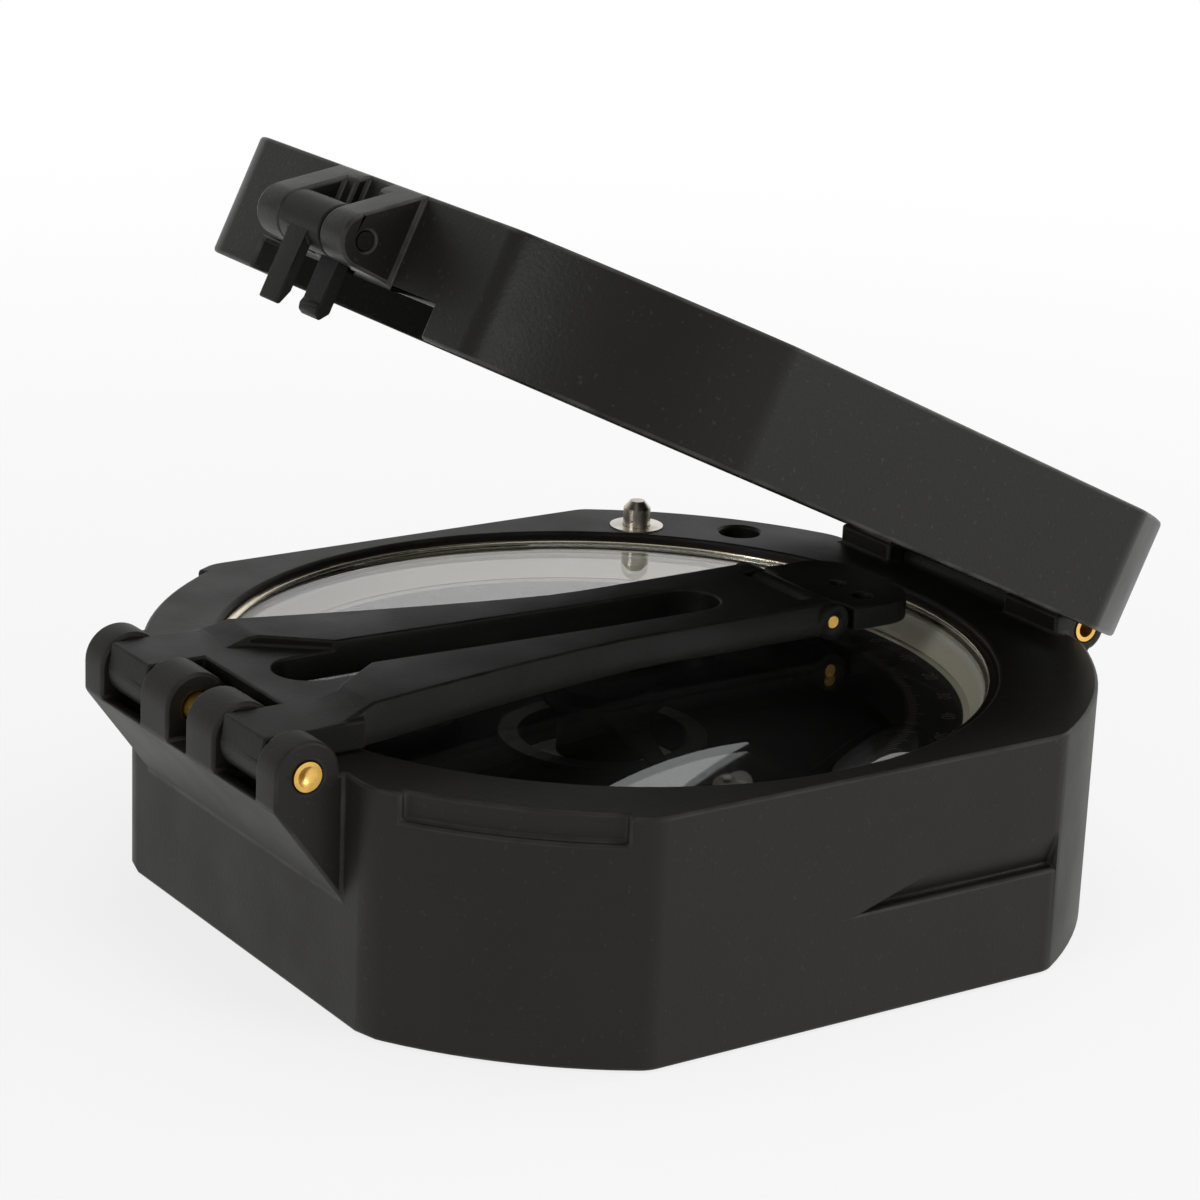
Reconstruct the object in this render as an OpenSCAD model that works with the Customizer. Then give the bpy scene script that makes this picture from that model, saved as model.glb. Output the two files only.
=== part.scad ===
// Pocket transit compass: moulded case, folding sighting arm and mirror lid.
// Origin: centre of the case bottom. +Y runs from the arm hinge to the lid hinge.

/* [Case] */
// Height of the case
case_h = 21; // [20.6:0.1:23]
// Width of the rim between the bore of the glass and a side flat
rim_w = 2.3; // [2.2:0.1:3]
// How much wider the round corners are than the side flats
corner_out = 5; // [4.6:0.1:7]
// How much nearer to the dial axis the front flat is than a side flat
front_in = 0.6; // [0:0.1:0.7]
// How much farther from the dial axis the rear flat is than a side flat
rear_out = 2.6; // [2.2:0.1:3.4]
// Radius where a side flat meets a round corner
fillet_r = 3; // [1:0.5:5]
// Thickness of the case floor
floor_t = 3; // [2.6:0.1:3.2]
// Depth of the wedge grooves in the side flats
groove_d = 1.2; // [0.6:0.1:1.5]

/* [Dial] */
// Radius of the bore that holds the glass
glass_r = 33.7; // [33.3:0.1:34]
// Depth of the glass below the rim
glass_drop = 0.95; // [0.8:0.05:1.2]
// Thickness of the glass
glass_t = 1.6; // [1.2:0.1:2]
// Width of the graduated ring
ring_w = 5.85; // [5.4:0.05:6.2]
// Depth of the top of the graduated ring below the rim
ring_drop = 5.2; // [5:0.1:5.5]
// Number of crown teeth under the graduated ring
ring_teeth = 100; // [80:1:100]
// Number of teeth on the adjusting pinion
pinion_teeth = 12; // [10:1:12]

/* [Sighting arm] */
// Radius of the brass hinge pin
arm_pin_r = 1.24; // [1:0.02:1.3]
// Radius of the hinge ears, lugs and barrels
arm_ear_r = 2.9; // [2.6:0.05:3]
// Half width of the hinge plate
arm_half_w = 13; // [12.5:0.1:13.4]
// Half width of the sighting slot
slot_half_w = 3; // [2.4:0.1:3.4]
// Length of the arm from its pin to the leaf pin
arm_len = 57.95; // [56:0.05:58.5]

/* [Lid] */
// Height of the closed lid
lid_h = 10.45; // [10:0.05:12]
// Thickness of the lid walls
lid_wall = 2.1; // [1.6:0.1:2.4]
// Thickness of the mirror
mirror_t = 1.2; // [0.8:0.1:1.6]
// Opening angle of the lid as drawn
lid_open = 25.5; // [25:0.5:60]
// Radius of the knuckles of the lid hinge
knuckle_r = 2.15; // [1.9:0.05:2.2]
// Half length of the lid hinge
hinge_half_l = 15.6; // [14:0.1:16]

/* [Hidden] */
$fn = 96;

eps = 0.01;
run_gap = 0.05;
side_gap = 0.15;
far = 200;

half_w = glass_r + rim_w;
corner_r = half_w + corner_out;
front_d = half_w - front_in;
rear_d = half_w + rear_out;
arc_y = 0.5;
rear_arc_y = 1.5;
glass_top = case_h - glass_drop;
glass_bot = glass_top - glass_t;
gasket_t = 0.4;
liner_t = 0.4;
snap_w = 0.8;

// The eight-sided plan of case and lid: two side flats, front and rear flats, round corners
module outline(inset = 0) {
    flat_w = half_w - inset;
    round_r = corner_r - inset;
    blend_r = max(fillet_r - inset, 0.2);
    blend_x = flat_w - blend_r;
    blend_y = sqrt(pow(round_r - blend_r, 2) - pow(blend_x, 2));
    blend_angle = atan2(blend_y, blend_x);
    reach = blend_r + 1;
    difference() {
        intersection() {
            union() {
                translate([0, arc_y]) circle(r = round_r, $fn = 240);
                translate([0, rear_arc_y]) circle(r = round_r, $fn = 240);
            }
            translate([-flat_w, inset - front_d]) square([2 * flat_w, front_d + rear_d - 2 * inset]);
        }
        for (end = [[arc_y, -1], [rear_arc_y, 1]])
            translate([0, end[0]]) both_sides() scale([1, end[1]]) translate([blend_x, blend_y]) difference() {
                polygon([
                    [0, 0], [reach, 0], [reach, reach * tan(blend_angle / 2)],
                    reach * [cos(blend_angle), sin(blend_angle)]
                ]);
                circle(r = blend_r);
            }
    }
}

// A profile drawn as [y, z] and carried along X from x0 to x1
module along_x(x0, x1) {
    translate([x0, 0, 0]) rotate([90, 0, 90]) linear_extrude(height = x1 - x0) children();
}

module rod_x(x0, x1, r, y, z) {
    translate([x0, y, z]) rotate([0, 90, 0]) cylinder(r = r, h = x1 - x0);
}

module both_sides() {
    children();
    mirror([1, 0, 0]) children();
}

// Faces of a skin over n + 1 sections of m points each, with both ends closed
function skin(n, m) = concat(
    [for (i = [0 : n - 1], j = [0 : m - 1]) let (k = (j + 1) % m)
        [i * m + k, (i + 1) * m + k, (i + 1) * m + j, i * m + j]],
    [[for (j = [m - 1 : -1 : 0]) j], [for (j = [0 : m - 1]) n * m + j]]
);

module ring(r_out, r_in, z0, z1) {
    translate([0, 0, z0]) difference() {
        cylinder(r = r_out, h = z1 - z0, $fn = 192);
        translate([0, 0, -1]) cylinder(r = r_in, h = z1 - z0 + 2, $fn = 192);
    }
}

/* Arm hinge at the front of the case */
arm_pin_y = -front_d - 3.25;
arm_pin_z = case_h + 0.2;
ear_out_x = 16.4;
ear_in_x = 13.2;
lug_out_x = 6.3;
lug_in_x = 1.6;
ear_front_y = arm_pin_y - arm_ear_r;
flare_top_z = case_h - 2.3;
flare_low_z = case_h - 10.7;
barrel_gap = 0.25;
barrel_front = 1.99;

/* Lid hinge at the rear */
lid_pin_y = rear_d + 2.3;
lid_pin_z = case_h + 0.05;
lid_tube_r = 1.17;
lid_tube_wall = 0.4;
lid_lug_x = 8.3;
lug_front_y = rear_d - 1.3;
lug_top_z = case_h + 1.8;

/* Inside of the case */
ring_out_r = glass_r - 1.85;
ring_in_r = ring_out_r - ring_w;
cavity_r = ring_out_r - 0.45;
ring_bore_r = ring_out_r + 0.1;
ring_top = case_h - ring_drop;
ring_bot = ring_top - 1.55;
wall_ring_bot = ring_top + 0.2;
tooth_h = 0.9;
tooth_in_r = ring_out_r - 3.05;
tooth_out_r = ring_out_r - 0.85;
mean_tooth_r = (tooth_in_r + tooth_out_r) / 2;
tooth_pitch = 2 * PI * mean_tooth_r / ring_teeth;
pinion_r = pinion_teeth * tooth_pitch / (2 * PI);
pinion_z = ring_bot - tooth_h / 2 - pinion_r;

/* Adjusting screw: it turns the graduated ring through the crown teeth */
screw_angle = 192;
screw_r = 1.45;
screw_head_r = 2.4;
screw_seat = half_w - 0.8;

/* Lift pin and lever */
lift_angle = 141.6;
lift_r = glass_r + 3;
hole_angle = 126.6;
hole_out = 1.4;
hole_r = 1.95;
hole_d = 6;
lift_pin_r = 1.3;
lift_travel = 1.5;
lift_stand = 2.5;
lever_z = floor_t + 2;
lever_t = 0.9;
lever_w = 3;
lever_pivot_r = 16.1;
lever_axle_r = 0.7;
lever_boss_r = 1.35;
pocket_r = 2.6;
pocket_bot = case_h - 11.5;
bush_len = 3;
collar_t = 1.2;
collar_bot = case_h - bush_len - 0.1 - collar_t;

/* Turning parts at the centre */
shaft_r = 2;
recess_r = 16.5;
recess_d = 1.4;
carrier_z = floor_t + 0.4;
carrier_t = 1;
carrier_r = 10.8;
plate_top = ring_top - 4.4;
plate_t = 1;
plate_r = ring_in_r - 0.8;
cup_r = 8.2;
cup_bot = plate_top - 3.2;
cup_top = plate_top + 0.6;
cup_wall = 0.8;
post_r = 1.1;
hub_r = 4;
hub_bot = plate_top - 1;
hub_top = ring_top + 0.7;
hub_bore_r = 1.6;
lift_collar_r = 2.2;
blade_z = ring_top - 0.8;
blade_t = 0.4;
needle_angle = -18;

/* Levels on the vernier plate */
tube_x = 8.8 - plate_r;
tube_y = 5;
tube_len = 18;
tube_r = 2.2;
tube_z = plate_top + 0.2;
tube_slot_w = 6;
round_x = 15.2 - plate_r;
round_y = 10.2 - plate_r;
round_r = 5.5;
level_bot = plate_top - 2.7;

/* Sighting arm */
arm_bot = case_h + 0.2;
plate_z = case_h + 2.6;
rail_z = case_h + 3.5;
rail_start_y = arm_pin_y + 8.45;
ramp_y = arm_pin_y + 5.65;
funnel_back_y = arm_pin_y + 13.45;
funnel_mid_y = arm_pin_y + 7.65;
funnel_front_y = arm_pin_y + 2.65;
slot_from_y = arm_pin_y + 9.25;
leaf_pin_y = arm_pin_y + arm_len;
slot_to_y = leaf_pin_y - 11.1;
leaf_pin_z = case_h + 1.3;
leaf_pin_r = 0.55;
fork_r = 1.7;
tongue_x = 4.3;
leaf_len = 9.9;
leaf_top = case_h + 2.2;
leaf_bot = case_h + 0.06;
leaf_half_w = 6.8;
leaf_start = 2.3;

/* Lid, drawn closed and then turned open */
lid_bot = case_h + 0.25;
lid_top = lid_bot + lid_h;
lid_roof = 1.8;
notch_half_w = 13.4;
notch_top = case_h + 2.9;
clip_y = -front_d - 3.6;
clip_z = lid_bot + 5.25;
clip_r = 2.2;
clip_pin_r = 0.75;
clip_half_w = 3.15;
lug_half_w = 6.8;
finger_half_w = 1.4;
finger_gap = 0.16;
clip_drop = 1.8;
mirror_r = half_w - 14.8;
mirror_y = 4.2;
mirror_end_y = 20.6;
sight_half_w = 3.1;
sight_front_y = 24.3;
sight_back_y = 26.9;
sight_bead_r = 4.35;

module case_body() {
    color([0.09, 0.09, 0.1]) difference() {
        union() {
            linear_extrude(height = case_h) outline();
            along_x(-ear_out_x, ear_out_x) flare_profile();
            both_sides() {
                along_x(ear_in_x, ear_out_x) ear_profile();
                along_x(lug_in_x, lug_out_x) ear_profile();
                along_x(lid_lug_x, hinge_half_l) lid_lug_profile();
            }
        }
        dial_bores();
        both_sides() {
            rod_x(lug_out_x, ear_in_x, arm_ear_r + barrel_gap, arm_pin_y, arm_pin_z);
            side_groove();
            rim_recess();
        }
        rod_x(-far, far, arm_pin_r + run_gap, arm_pin_y, arm_pin_z);
        rod_x(-far, far, lid_tube_r + run_gap, lid_pin_y, lid_pin_z);
        lift_pocket();
        plain_hole();
        screw_bore();
        translate([0, 0, -1]) cylinder(r = recess_r, h = recess_d + 1);
        translate([0, 0, -1]) cylinder(r = shaft_r + run_gap, h = far);
    }
    color([0.09, 0.09, 0.1]) lever_posts();
}

module flare_profile() {
    polygon([
        [ear_front_y, flare_top_z], [-front_d, flare_low_z],
        [1 - front_d, flare_low_z], [1 - front_d, flare_top_z]
    ]);
}

module ear_profile() {
    translate([arm_pin_y, arm_pin_z]) circle(r = arm_ear_r);
    polygon([
        [ear_front_y, arm_pin_z], [ear_front_y, flare_top_z], [1 - front_d, flare_top_z],
        [1 - front_d, case_h], [arm_pin_y + arm_ear_r, case_h], [arm_pin_y + arm_ear_r, arm_pin_z]
    ]);
}

module lid_lug_profile() {
    gusset_z = case_h - 6;
    translate([lid_pin_y, lid_pin_z]) circle(r = knuckle_r);
    polygon([
        [lug_front_y, gusset_z], [lug_front_y, lug_top_z], [lid_pin_y, lid_pin_z + knuckle_r],
        [lid_pin_y, lid_pin_z], [lid_pin_y + 0.6, lid_pin_z - knuckle_r + 0.09], [rear_d, gusset_z]
    ]);
}

// Stepped bore: glass and pale ring above, graduated ring below, open space to the floor
module dial_bores() {
    translate([0, 0, wall_ring_bot]) cylinder(r = glass_r, h = far, $fn = 192);
    translate([0, 0, ring_bot - run_gap]) cylinder(r = ring_bore_r, h = far, $fn = 192);
    translate([0, 0, floor_t]) cylinder(r = cavity_r, h = far, $fn = 192);
}

// Wedge-shaped groove in a side flat, deepest at the rear end of its lower edge
module side_groove() {
    low_z = case_h - 11.7;
    high_z = case_h - 8.2;
    tip_y = 1.3;
    end_y = 21.2;
    tip_z = high_z - 3.5;
    x0 = half_w - groove_d;
    x1 = half_w + groove_d;
    polyhedron(
        points = [
            [x0, tip_y, low_z], [x1, tip_y, low_z], [x1, tip_y, 2 * tip_z - low_z],
            [x0, end_y, low_z], [x1, end_y, low_z], [x1, end_y, 2 * high_z - low_z]
        ],
        faces = skin(1, 3)
    );
}

// Shallow step along the top edge of a front corner
module rim_recess() {
    depth = 0.8;
    translate([0, arc_y, case_h - 2.3]) intersection() {
        difference() {
            cylinder(r = corner_r + 1, h = far, $fn = 240);
            translate([0, 0, -1]) cylinder(r = corner_r - depth, h = far, $fn = 240);
        }
        linear_extrude(height = far) polygon([
            [0, 0], far * [cos(-57), sin(-57)], far * [cos(-44), sin(-44)], far * [cos(-32), sin(-32)]
        ]);
    }
}

module lift_pocket() {
    slot_h = lever_z + lever_t + 0.6 - floor_t;
    slot_in_r = cavity_r - 2;
    rotate([0, 0, lift_angle]) translate([lift_r, 0, 0]) {
        translate([0, 0, pocket_bot]) cylinder(r = pocket_r, h = case_h - bush_len - pocket_bot);
        translate([0, 0, floor_t]) cylinder(r = lift_pin_r + 0.1, h = far);
        translate([0, 0, case_h - bush_len - 1]) cylinder(r = pocket_r - 0.55, h = far);
        translate([0, 0, case_h - 0.4]) cylinder(r = pocket_r, h = far);
        translate([slot_in_r - lift_r, -lever_w / 2 - 0.3, floor_t])
            cube([lift_r + 2.2 - slot_in_r, lever_w + 0.6, slot_h]);
    }
}

// Plain round hole beside the lift pin
module plain_hole() {
    rotate([0, 0, hole_angle]) translate([lift_r + hole_out, 0, case_h - hole_d]) cylinder(r = hole_r, h = far);
}

module along_screw(from) {
    rotate([0, 0, screw_angle]) translate([from, 0, pinion_z]) rotate([0, 90, 0]) children();
}

module screw_bore() {
    along_screw(cavity_r - 2) cylinder(r = screw_r + run_gap, h = 10);
    along_screw(screw_seat) cylinder(r = screw_head_r + 0.3, h = 10);
}

// Two posts on the floor that hold the axle of the lift lever
module lever_posts() {
    post_t = 1.6;
    post_top = lever_z + lever_t / 2 + lever_axle_r + 0.4;
    rotate([0, 0, lift_angle]) for (side = [-1, 1])
        difference() {
            translate([lever_pivot_r - 1.8, side * (lever_w / 2 + 0.2 + post_t / 2) - post_t / 2, floor_t - 0.5])
                cube([3.6, post_t, post_top - floor_t + 0.5]);
            translate([lever_pivot_r, -5, lever_z + lever_t / 2]) rotate([-90, 0, 0])
                cylinder(r = lever_axle_r + 0.02, h = 10);
        }
}

module arm_hinge_pin() {
    color([0.8, 0.62, 0.3]) difference() {
        rod_x(-ear_out_x, ear_out_x, arm_pin_r, arm_pin_y, arm_pin_z);
        both_sides() translate([ear_out_x + 1.1, arm_pin_y, arm_pin_z]) sphere(r = 1.4);
    }
}

module lid_hinge_pin() {
    color([0.8, 0.62, 0.3]) difference() {
        rod_x(-hinge_half_l, hinge_half_l, lid_tube_r, lid_pin_y, lid_pin_z);
        rod_x(-far, far, lid_tube_r - lid_tube_wall, lid_pin_y, lid_pin_z);
    }
}

// Pale liner of the bore: a cone above the graduated ring and a thin wall round the glass
module dial_wall_ring() {
    out_r = glass_r - 0.1;
    seat_z = glass_bot - gasket_t;
    top_z = glass_top - 0.02;
    color([0.8, 0.79, 0.68]) rotate_extrude($fn = 192) polygon([
        [ring_out_r - 0.35, wall_ring_bot], [out_r, wall_ring_bot], [out_r, top_z],
        [out_r - liner_t, top_z], [out_r - liner_t, seat_z], [out_r - liner_t - 0.7, seat_z]
    ]);
}

module glass_gasket() {
    out_r = glass_r - liner_t - 0.12;
    color([0.8, 0.79, 0.7]) ring(out_r, out_r - 0.55, glass_bot - gasket_t, glass_bot);
}

module dial_glass() {
    chamfer = 0.3;
    disc_r = glass_r - liner_t - 0.13;
    color([0.8, 0.85, 0.85, 0.3]) rotate_extrude($fn = 192) polygon([
        [0, glass_bot], [disc_r, glass_bot], [disc_r, glass_top - chamfer],
        [disc_r - chamfer, glass_top], [0, glass_top]
    ]);
}

// Split ring that holds the glass down, its gap hidden under the arm
module snap_ring() {
    snap_h = 0.35;
    color([0.78, 0.73, 0.62]) difference() {
        ring(glass_r - 0.03, glass_r - 0.03 - snap_w, glass_top, glass_top + snap_h);
        translate([-0.7, -glass_r - 1, glass_top - 1]) cube([1.4, 4, 3]);
    }
}

module graduated_ring() {
    tooth_angle = 0.3 * 360 / ring_teeth;
    color([0.1, 0.1, 0.1]) {
        ring(ring_out_r, ring_in_r, ring_bot, ring_top);
        ring(ring_in_r + 1, ring_in_r, plate_top + 0.5, ring_bot);
        translate([0, 0, ring_bot - tooth_h]) linear_extrude(height = tooth_h) for (i = [0 : ring_teeth - 1])
            rotate(screw_angle + (i + 0.5) * 360 / ring_teeth) polygon([
                tooth_in_r * [cos(tooth_angle / 2), sin(tooth_angle / 2)],
                tooth_out_r * [cos(tooth_angle / 2), sin(tooth_angle / 2)],
                tooth_out_r * [cos(tooth_angle / 2), -sin(tooth_angle / 2)],
                tooth_in_r * [cos(tooth_angle / 2), -sin(tooth_angle / 2)]
            ]);
    }
}

// Radial shaft with a slotted head outside and the pinion under the crown teeth
module adjusting_screw() {
    root_r = pinion_r - tooth_h / 2 - 0.05;
    tip_r = pinion_r + tooth_h / 2 - 0.07;
    root_w = 0.42 * tooth_pitch;
    tip_w = 0.2 * tooth_pitch;
    pinion_out = tooth_out_r - 0.2;
    pinion_w = 1.9;
    head_from = screw_seat + 0.1;
    color([0.72, 0.6, 0.35]) {
        along_screw(pinion_out - pinion_w) linear_extrude(height = pinion_w) {
            circle(r = root_r);
            for (i = [0 : pinion_teeth - 1])
                rotate(180 + i * 360 / pinion_teeth) polygon([
                    [root_r - 0.2, -root_w / 2], [tip_r, -tip_w / 2], [tip_r, tip_w / 2], [root_r - 0.2, root_w / 2]
                ]);
        }
        along_screw(pinion_out) cylinder(r = screw_r, h = head_from - pinion_out);
        difference() {
            along_screw(head_from) cylinder(r = screw_head_r, h = 0.8);
            along_screw(head_from + 0.35) translate([-0.3, -5, 0]) cube([0.6, 10, 2]);
        }
    }
}

module clinometer_shaft() {
    color([0.6, 0.6, 0.62]) difference() {
        union() {
            translate([0, 0, 1.25]) cylinder(r = shaft_r, h = carrier_z + carrier_t - 1.25);
            translate([0, 0, carrier_z]) linear_extrude(height = carrier_t) {
                circle(r = hub_r);
                translate([0, -1.5]) square([carrier_r, 3]);
            }
            translate([carrier_r - 1.5, -1.5, carrier_z]) cube([1.5, 3, plate_top - plate_t - carrier_z]);
        }
        cylinder(r = 0.7, h = 3);
    }
}

module clinometer_lever() {
    lever_len = 13.6;
    color([0.1, 0.1, 0.1]) difference() {
        translate([0, 0, 0.45]) linear_extrude(height = 0.75) {
            circle(r = hub_r);
            translate([0, -1.8]) square([lever_len, 3.6]);
            translate([lever_len, 0]) circle(r = 1.8);
        }
        translate([0, 0, -1]) cylinder(r = 0.75, h = 4);
        for (i = [0 : 3]) translate([lever_len - 2 + i * 0.9, -1.2, 0]) cube([0.4, 2.4, 0.65]);
    }
}

module clinometer_screw() {
    color([0.75, 0.75, 0.75]) difference() {
        union() {
            translate([0, 0, 0.1]) cylinder(r = 1.6, h = 0.33);
            translate([0, 0, 0.43]) cylinder(r = 0.68, h = 2.3);
        }
        translate([-0.25, -2, 0]) cube([0.5, 4, 0.25]);
    }
}

// Turning plate that carries the two levels and the damping cup
module vernier_plate() {
    color([0.06, 0.06, 0.06]) translate([0, 0, plate_top - plate_t]) linear_extrude(height = plate_t) difference() {
        circle(r = plate_r, $fn = 160);
        circle(r = cup_r + 0.1);
        translate([tube_x - tube_slot_w / 2, tube_y - tube_len / 2 - 0.1]) square([tube_slot_w, tube_len + 0.2]);
        translate([round_x, round_y]) circle(r = round_r - 0.5);
    }
}

module tube_level_body() {
    wall = 0.7;
    cradle_w = 2 * tube_r + 2 * wall;
    color([0.7, 0.66, 0.5]) difference() {
        union() {
            translate([tube_x - cradle_w / 2, tube_y - tube_len / 2, level_bot])
                cube([cradle_w, tube_len, tube_z - level_bot]);
            translate([tube_x, tube_y - tube_len / 2, tube_z]) rotate([-90, 0, 0])
                cylinder(r = cradle_w / 2, h = tube_len);
        }
        translate([tube_x, tube_y - tube_len / 2 + wall, tube_z]) rotate([-90, 0, 0])
            cylinder(r = tube_r + 0.02, h = tube_len - 2 * wall);
        translate([tube_x - 1.5, tube_y - tube_len / 2 + 2.5, tube_z]) cube([3, tube_len - 5, 5]);
    }
}

module tube_level_vial() {
    color([0.75, 0.85, 0.3, 0.6]) translate([tube_x, tube_y - tube_len / 2 + 0.8, tube_z])
        rotate([-90, 0, 0]) cylinder(r = tube_r, h = tube_len - 1.6);
}

module round_level_body() {
    color([0.7, 0.66, 0.5]) translate([round_x, round_y, 0]) difference() {
        union() {
            translate([0, 0, level_bot]) cylinder(r = round_r - 0.6, h = plate_top - level_bot);
            translate([0, 0, plate_top]) cylinder(r = round_r, h = 1.8);
        }
        translate([0, 0, level_bot + 0.8]) cylinder(r = round_r - 1.3, h = 10);
    }
}

module round_level_vial() {
    color([0.75, 0.85, 0.3, 0.6]) translate([round_x, round_y, level_bot + 0.8])
        cylinder(r = round_r - 1.32, h = plate_top + 1.4 - level_bot - 0.8);
}

module damping_cup() {
    color([0.7, 0.7, 0.68]) {
        difference() {
            translate([0, 0, cup_bot]) cylinder(r = cup_r, h = cup_top - cup_bot);
            translate([0, 0, cup_bot + cup_wall]) cylinder(r = cup_r - cup_wall, h = 10);
            translate([0, 0, cup_bot - 1]) cylinder(r = 2.4, h = 10);
        }
        ring(cup_r + 0.9, cup_r - cup_wall, plate_top, cup_top);
    }
}

module pivot_post() {
    point_z = hub_top - 1.95;
    taper_h = 0.95;
    color([0.75, 0.75, 0.78]) {
        translate([0, 0, carrier_z + carrier_t]) cylinder(r = post_r, h = cup_top - carrier_z - carrier_t);
        translate([0, 0, cup_top]) cylinder(r = 0.5, h = point_z - taper_h - cup_top);
        translate([0, 0, point_z - taper_h]) cylinder(r1 = 0.5, r2 = 0.06, h = taper_h, $fn = 48);
    }
}

// Sleeve that slides on the post and lifts the needle off its point
module lift_collar() {
    color([0.7, 0.7, 0.7]) ring(lift_collar_r, post_r + 0.08, lever_z + lever_t + 0.05, hub_bot - 0.3);
}

module lift_lever() {
    eye_r = 3.2;
    color([0.75, 0.75, 0.72]) rotate([0, 0, lift_angle]) difference() {
        union() {
            translate([0, 0, lever_z]) linear_extrude(height = lever_t) {
                circle(r = eye_r);
                translate([eye_r - 1, -lever_w / 2]) square([lift_r + 1.3 - eye_r + 1, lever_w]);
            }
            translate([lever_pivot_r, -lever_w / 2, lever_z + lever_t / 2]) rotate([-90, 0, 0])
                cylinder(r = lever_boss_r, h = lever_w);
        }
        cylinder(r = post_r + 0.5, h = 20);
        translate([lever_pivot_r, -5, lever_z + lever_t / 2]) rotate([-90, 0, 0])
            cylinder(r = lever_axle_r + run_gap, h = 10);
    }
}

module lever_axle() {
    half_l = lever_w / 2 + 1.7;
    color([0.7, 0.7, 0.7]) rotate([0, 0, lift_angle])
        translate([lever_pivot_r, -half_l, lever_z + lever_t / 2]) rotate([-90, 0, 0])
            cylinder(r = lever_axle_r, h = 2 * half_l);
}

module at_lift_pin() {
    rotate([0, 0, lift_angle]) translate([lift_r, 0, 0]) children();
}

module lift_pin() {
    cone_h = 0.7;
    top_z = case_h + lift_stand;
    low_z = lever_z + lever_t + 0.15;
    color([0.7, 0.68, 0.64]) at_lift_pin() {
        translate([0, 0, low_z]) cylinder(r1 = 0.9, r2 = lift_pin_r, h = 0.4);
        translate([0, 0, low_z + 0.4]) cylinder(r = lift_pin_r, h = top_z - cone_h - low_z - 0.4);
        translate([0, 0, top_z - cone_h]) cylinder(r1 = lift_pin_r, r2 = 0.7, h = cone_h);
        translate([0, 0, collar_bot]) cylinder(r = pocket_r - 0.4, h = collar_t);
    }
}

module lift_bush() {
    color([0.8, 0.8, 0.78]) at_lift_pin() difference() {
        union() {
            translate([0, 0, case_h - bush_len]) cylinder(r = pocket_r - 0.58, h = bush_len - 0.4);
            translate([0, 0, case_h - 0.4]) cylinder(r = pocket_r - 0.05, h = 0.5);
        }
        cylinder(r = lift_pin_r + run_gap, h = far);
    }
}

// Coil spring swept along a helix between the shelf and the collar of the pin
module lift_spring() {
    wire_r = 0.25;
    turns = 5;
    steps = 12;
    sides = 6;
    coil_r = lift_pin_r + 0.2 + wire_r;
    low = pocket_bot + wire_r + 0.02;
    high = collar_bot - wire_r - 0.02;
    n = turns * steps;
    points = [
        for (i = [0 : n], j = [0 : sides - 1])
            let (a = 360 * i / steps, b = 360 * j / sides, r = coil_r + wire_r * cos(b))
                [r * cos(a), r * sin(a), low + (high - low) * i / n + wire_r * sin(b)]
    ];
    color([0.6, 0.6, 0.6]) at_lift_pin() polyhedron(points = points, faces = skin(n, sides));
}

module needle_blade() {
    blade_len = ring_in_r - 1.6;
    color([0.12, 0.12, 0.13]) rotate([0, 0, needle_angle]) translate([0, 0, blade_z])
        linear_extrude(height = blade_t) difference() {
            union() {
                circle(r = hub_r + 1.3);
                polygon([[-blade_len, 0], [0, -2.2], [blade_len, 0], [0, 2.2]]);
            }
            circle(r = hub_r + 0.02);
        }
}

module needle_hub() {
    color([0.1, 0.1, 0.1]) difference() {
        translate([0, 0, hub_bot]) cylinder(r = hub_r, h = hub_top - hub_bot);
        cylinder(r = hub_bore_r, h = hub_top - 1.2);
    }
}

module needle_jewel() {
    color([0.6, 0.1, 0.2]) difference() {
        translate([0, 0, hub_top - 2.5]) cylinder(r = hub_bore_r - 0.02, h = 1.28);
        translate([0, 0, hub_top - 2.6]) cylinder(r1 = 1, r2 = 0.1, h = 0.7);
    }
}

// Small slider on the blade that balances the dip of the needle
module counterweight() {
    color([0.7, 0.6, 0.35]) rotate([0, 0, needle_angle]) translate([-13, 0, blade_z]) difference() {
        translate([-0.8, -1.6, -0.35]) cube([1.6, 3.2, 0.35 + blade_t + 0.35]);
        translate([-2, -1.35, -0.02]) cube([4, 2.7, blade_t + 0.04]);
    }
}

// Half width of the arm at its lower edge: wide at the hinge, narrow from the middle on
function arm_w(y) = leaf_half_w + 0.1 + (arm_half_w - leaf_half_w - 0.1) * pow(max(0, y / ramp_y), 1.3);

// Height of the top of the rails: a ramp up from the hinge plate, then a slow fall
function arm_top(y) = y <= ramp_y ? plate_z : rail_z - 0.5 * min(1, (y - rail_start_y) / 30);

module arm_rails() {
    steps = 14;
    side_draft = 0.45;
    stations = concat(
        [ramp_y, rail_start_y],
        [for (i = [1 : steps]) rail_start_y + (leaf_pin_y - rail_start_y) * i / steps]
    );
    points = [
        for (y = stations) let (w = arm_w(y), t = arm_top(y), m = arm_bot + 1.2)
            each [[-w, y, arm_bot], [w, y, arm_bot], [w, y, m], [w - side_draft, y, t],
                [side_draft - w, y, t], [-w, y, m]]
    ];
    polyhedron(points = points, faces = skin(len(stations) - 1, 6));
}

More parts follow.
